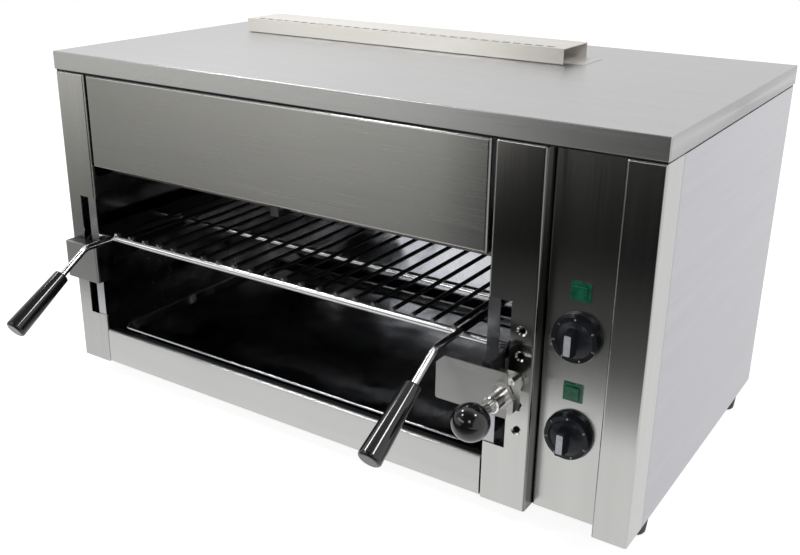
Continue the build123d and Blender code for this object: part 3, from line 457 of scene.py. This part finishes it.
def make_paint():
    """Pale grey paint of the index and the numbers."""
    material, tree, shader = new_material("mark_paint", (0.42, 0.44, 0.46), 0.3, 0.32)
    haze = noise(tree, 120.0, detail=3.0)
    tone = ramp(tree, haze, ((0.3, (0.36, 0.38, 0.40)), (0.7, (0.47, 0.49, 0.51))))
    tree.links.new(tone, shader.inputs["Base Color"])
    bump(tree, shader, noise(tree, 700.0), 0.1, 0.0001)
    return material


mark_paint = make_paint()


def add_piece(name, build):
    """Turn a bmesh into an object with the mark paint."""
    mesh = bpy.data.meshes.new(name)
    build.to_mesh(mesh)
    build.free()
    mesh.materials.append(mark_paint)
    return add_object(name, mesh)


def add_index(name, middle, front_y):
    """Slightly proud strip with rounded ends on the front of a knob's bar."""
    width, height = INDEX_SIZE
    corner = width * INDEX_CORNER
    build = bmesh.new()
    ring = []
    for sx, sz, start in ((1, 1, 0), (-1, 1, 90), (-1, -1, 180), (1, -1, 270)):
        for step in range(CORNER_STEPS):
            angle = radians(start + step * 90 / (CORNER_STEPS - 1))
            x = middle[0] + sx * (width / 2 - corner) + corner * cos(angle)
            z = middle[2] + sz * (height / 2 - corner) + corner * sin(angle)
            ring.append(build.verts.new((x, front_y + MARK_PROUD / 2, z)))
    face = build.faces.new(ring)
    grown = bmesh.ops.extrude_face_region(build, geom=[face])
    moved = [v for v in grown["geom"] if isinstance(v, bmesh.types.BMVert)]
    bmesh.ops.translate(build, verts=moved, vec=(0.0, -1.5 * MARK_PROUD, 0.0))
    bmesh.ops.recalc_face_normals(build, faces=build.faces)
    return add_piece(name, build)


def mesh_of(curve):
    """Mesh of a curve or text; the curve goes."""
    holder = add_object("holder", curve)
    bpy.context.view_layer.update()
    mesh = bpy.data.meshes.new_from_object(holder)
    bpy.data.objects.remove(holder)
    bpy.data.curves.remove(curve)
    return mesh


def digit_mesh(text):
    """Mesh of one raised digit, upright and facing the user."""
    curve = bpy.data.curves.new("digit", "FONT")
    curve.body = text
    curve.size = FONT_SIZE
    curve.extrude = MARK_PROUD / 2
    curve.resolution_u = 3
    curve.align_x = "CENTER"
    curve.align_y = "CENTER"
    return mesh_of(curve)


def add_numbers(name, middle, face_y):
    """A dot and the numbers 1 to 6 round the knob's skirt."""
    build = bmesh.new()
    for number in range(MARKS):
        turn = Matrix.Rotation(radians(-number * DIGIT_STEP), 4, "Y")
        place = Matrix.Translation((middle[0], face_y, middle[2])) @ turn
        place = place @ Matrix.Translation((0.0, 0.0, DIGIT_RADIUS))
        place = place @ Matrix.Rotation(pi / 2, 4, "X")
        if number == 0:
            bmesh.ops.create_cone(
                build, cap_ends=True, segments=20, radius1=DOT_RADII[0], radius2=DOT_RADII[1],
                depth=MARK_PROUD, matrix=place,
            )
            continue
        mesh = digit_mesh(str(number))
        mesh.transform(place)
        build.from_mesh(mesh)
        bpy.data.meshes.remove(mesh)
    return add_piece(name, build)


def mark_knobs():
    """Index strip and numbers of both knobs; they turn with their knob."""
    for level in KNOBS:
        low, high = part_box("knob_" + level)
        middle = [(low[i] + high[i]) / 2 for i in range(3)]
        pieces = (
            add_index("index_" + level, middle, low[1]),
            add_numbers("numbers_" + level, middle, high[1] - SKIRT_DEPTH),
        )
        for piece in pieces:
            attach(piece, level + "_knob")


mark_knobs()

# ---------------------------------------------------------------- plunger spring

SPRING_WIRE = 0.0012
SPRING_TURNS = 6
TURN_POINTS = 24


def add_spring():
    """Coil in the plunger's housing, built at one length; it moves with the carriage, though the
    real one shortens as the plunger is drawn.
    """
    low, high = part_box("plunger_spring")
    x, z = (low[0] + high[0]) / 2, (low[2] + high[2]) / 2
    radius = (high[0] - low[0] - SPRING_WIRE) / 2
    start = low[1] + SPRING_WIRE / 2
    rise = high[1] - low[1] - SPRING_WIRE
    curve = bpy.data.curves.new("coil", "CURVE")
    curve.dimensions = "3D"
    curve.bevel_depth = SPRING_WIRE / 2
    curve.bevel_resolution = 2
    curve.use_fill_caps = True
    line = curve.splines.new("POLY")
    last = SPRING_TURNS * TURN_POINTS
    line.points.add(last)
    for step, point in enumerate(line.points):
        angle = 2 * pi * step / TURN_POINTS
        across, up = radius * cos(angle), radius * sin(angle)
        point.co = (x + across, start + rise * step / last, z + up, 1.0)
    mesh = mesh_of(curve)
    mesh.shade_smooth()
    mesh.materials.clear()
    mesh.materials.append(plated)
    spring = add_object("spring_coil", mesh)
    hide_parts("plunger_spring")
    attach(spring, "carriage")
    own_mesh(spring)


add_spring()

# ---------------------------------------------------------------- floor, light and background

FLOOR_Z = -0.0005
FLOOR_HALF = 4.0
SHADE_LIFT = 0.76          # part of the floor's white that a shadow doesn't take
SHADE_GREY = (0.55, 0.55, 0.55)
AMBIENT_TINT = (0.85, 0.85, 0.87)
AMBIENT = 0.75
WARM_WHITE = (1.0, 0.99, 0.94)
BLACK = (0.0, 0.0, 0.0)
RIGHT_LIGHT = (0.90, 0.90, 0.90)
TABLE_DEPTH = 1.0          # ahead of the object, over which TABLE_TONES run
TABLE_SLANT = 0.05         # how far the table's front edge turns, per metre across
SLANT_MIDDLE = 0.3         # across, where that turn starts
ROOM_SLANT = 0.37          # the line left of which the far floor is pale, per metre ahead


def emission(tree, color=(1.0, 1.0, 1.0), strength=1.0):
    """A plain emission; color is a colour or another node's socket."""
    node = tree.nodes.new("ShaderNodeEmission")
    node.inputs["Strength"].default_value = strength
    if isinstance(color, tuple):
        node.inputs["Color"].default_value = (*color, 1.0)
    else:
        tree.links.new(color, node.inputs["Color"])
    return node.outputs["Emission"]


def mixed(tree, amount, low, high):
    """Mix two shaders by an amount."""
    node = tree.nodes.new("ShaderNodeMixShader")
    tree.links.new(amount, node.inputs["Fac"])
    tree.links.new(low, node.inputs[1])
    tree.links.new(high, node.inputs[2])
    return node.outputs["Shader"]


def by_ray(tree, lit, mirrored, seen):
    """What other rays meet, what glossy and transmission rays meet, and what the camera sees."""
    path = tree.nodes.new("ShaderNodeLightPath")
    glossy, transmitted = path.outputs["Is Glossy Ray"], path.outputs["Is Transmission Ray"]
    through = reckon(tree, "MAXIMUM", glossy, transmitted)
    return mixed(tree, path.outputs["Is Camera Ray"], mixed(tree, through, lit, mirrored), seen)


def grey(level):
    """A neutral colour."""
    return (level, level, level)


def lightest(tree, first, second):
    """The lighter of two colours."""
    node = tree.nodes.new("ShaderNodeMix")
    node.data_type = "RGBA"
    node.blend_type = "LIGHTEN"
    node.inputs["Factor"].default_value = 1.0
    tree.links.new(first, node.inputs["A"])
    tree.links.new(second, node.inputs["B"])
    return node.outputs["Result"]


# brightness of the table against the distance ahead of the object, in parts of TABLE_DEPTH
TABLE_TONES = (
    (0.0, grey(0.97)),
    (0.22, grey(0.95)),
    (0.31, grey(0.34)),
    (0.42, grey(0.12)),
    (0.60, grey(0.06)),
    (0.85, grey(0.012)),
)


def floor_tone(tree):
    """What the metals mirror in the floor: a pale table, and a room lit from its left and right."""
    x, y, _ = axes(tree, "Object")
    turned = reckon(tree, "MULTIPLY", reckon(tree, "ADD", x, -SLANT_MIDDLE), TABLE_SLANT)
    edge = reckon(tree, "ADD", y, turned)
    ahead = span(tree, edge, 1.0, 0.0, start=FRONT_Y - TABLE_DEPTH, end=FRONT_Y)
    table = ramp(tree, ahead, TABLE_TONES)
    past_edge = reckon(tree, "SUBTRACT", x, reckon(tree, "MULTIPLY", y, ROOM_SLANT))
    inside = span(tree, past_edge, 1.0, 0.0, start=-0.01, end=0.09)
    squares = [reckon(tree, "POWER", value, 2.0) for value in (x, y)]
    far = reckon(tree, "SQRT", reckon(tree, "ADD", *squares))
    room_tone = span(tree, far, 0.12, 0.84, start=0.8, end=3.0)
    amount = reckon(tree, "MULTIPLY", inside, room_tone)
    room = ramp(tree, amount, ((0.0, BLACK), (1.0, WARM_WHITE)))
    past_right = span(tree, x, 0.0, 1.0, start=0.75, end=1.0)
    right = ramp(tree, past_right, ((0.0, BLACK), (1.0, RIGHT_LIGHT)))
    return lightest(tree, lightest(tree, table, room), right)


def add_floor():
    """Plain pale floor that keeps a faint shadow; the metals mirror it darker far in front."""
    mesh = bpy.data.meshes.new("floor")
    build = bmesh.new()
    bmesh.ops.create_grid(build, x_segments=1, y_segments=1, size=FLOOR_HALF)
    build.to_mesh(mesh)
    build.free()
    floor = add_object("floor", mesh)
    floor.location = (0.0, 0.0, FLOOR_Z)
    material, tree, shader = new_material("floor_pale", (0.8, 0.8, 0.8), 0.0, 0.9)
    shader.inputs["Specular IOR Level"].default_value = 0.0
    tone = floor_tone(tree)
    shadow = tree.nodes.new("ShaderNodeBsdfDiffuse")
    shadow.inputs["Color"].default_value = (*SHADE_GREY, 1.0)
    seen = tree.nodes.new("ShaderNodeAddShader")
    tree.links.new(emission(tree, strength=SHADE_LIFT), seen.inputs[0])
    tree.links.new(shadow.outputs["BSDF"], seen.inputs[1])
    surface = by_ray(
        tree, shader.outputs["BSDF"], emission(tree, tone), seen.outputs["Shader"]
    )
    tree.links.new(surface, tree.nodes["Material Output"].inputs["Surface"])
    mesh.materials.append(material)


def add_world():
    """White room behind the object; a dark one in front, pale on its right and low on its left."""
    world = bpy.data.worlds.new("room")
    bpy.context.scene.world = world
    world.use_nodes = True
    tree = world.node_tree
    background = tree.nodes["Background"]
    background.inputs["Color"].default_value = (*AMBIENT_TINT, 1.0)
    background.inputs["Strength"].default_value = AMBIENT
    x, y, z = axes(tree, "Generated")
    behind = ramp(
        tree,
        span(tree, y, 0.0, 1.0, start=-0.4, end=0.1),
        ((0.0, grey(0.03)), (0.5, grey(0.25)), (1.0, grey(1.0))),
    )
    left_side = span(tree, x, 1.0, 0.0, start=-0.54, end=-0.40)
    near_floor = span(tree, z, 0.85, 0.34, start=0.08, end=0.26)
    aside = ramp(
        tree,
        reckon(tree, "MULTIPLY", left_side, near_floor),
        ((0.0, BLACK), (0.34, (0.31, 0.34, 0.37)), (1.0, WARM_WHITE)),
    )
    past_right = span(tree, x, 0.0, 1.0, start=0.55, end=0.75)
    right = ramp(tree, past_right, ((0.0, BLACK), (1.0, RIGHT_LIGHT)))
    room = lightest(tree, lightest(tree, behind, aside), right)
    surface = by_ray(
        tree, background.outputs["Background"], emission(tree, room), emission(tree)
    )
    tree.links.new(surface, tree.nodes["World Output"].inputs["Surface"])


# what the lamps are aimed at, and the size of the small ones
CONTROLS = (0.2, -0.2, 0.2)
FASCIA = (-0.1, 0.0, 0.35)
SMALL_LAMP = (0.28, 0.28)


def add_area(name, place, target, size, power, tint=(1.0, 1.0, 1.0)):
    """A soft rectangular lamp aimed at a point."""
    data = bpy.data.lights.new(name, "AREA")
    data.shape = "RECTANGLE"
    data.size, data.size_y = size
    data.energy = power
    data.color = tint
    lamp = add_object(name, data)
    lamp.location = place
    aim = Vector(target) - Vector(place)
    lamp.rotation_euler = aim.to_track_quat("-Z", "Y").to_euler()


add_floor()
add_world()
add_area("lamp_left", (-1.23, -0.29, 1.79), CONTROLS, SMALL_LAMP, 6.0)
add_area("lamp_right", (1.23, -0.31, 1.92), CONTROLS, SMALL_LAMP, 6.0)
add_area("lamp_front_left", (-1.05, -1.25, 1.85), CONTROLS, SMALL_LAMP, 5.0)
add_area("lamp_front", (0.85, -1.85, 1.22), CONTROLS, (0.45, 0.45), 2.4)
add_area("window", (-1.10, -1.85, 0.93), FASCIA, (1.9, 0.40), 5.5, tint=(1.0, 0.98, 0.95))

bpy.context.scene.view_settings.view_transform = "Standard"
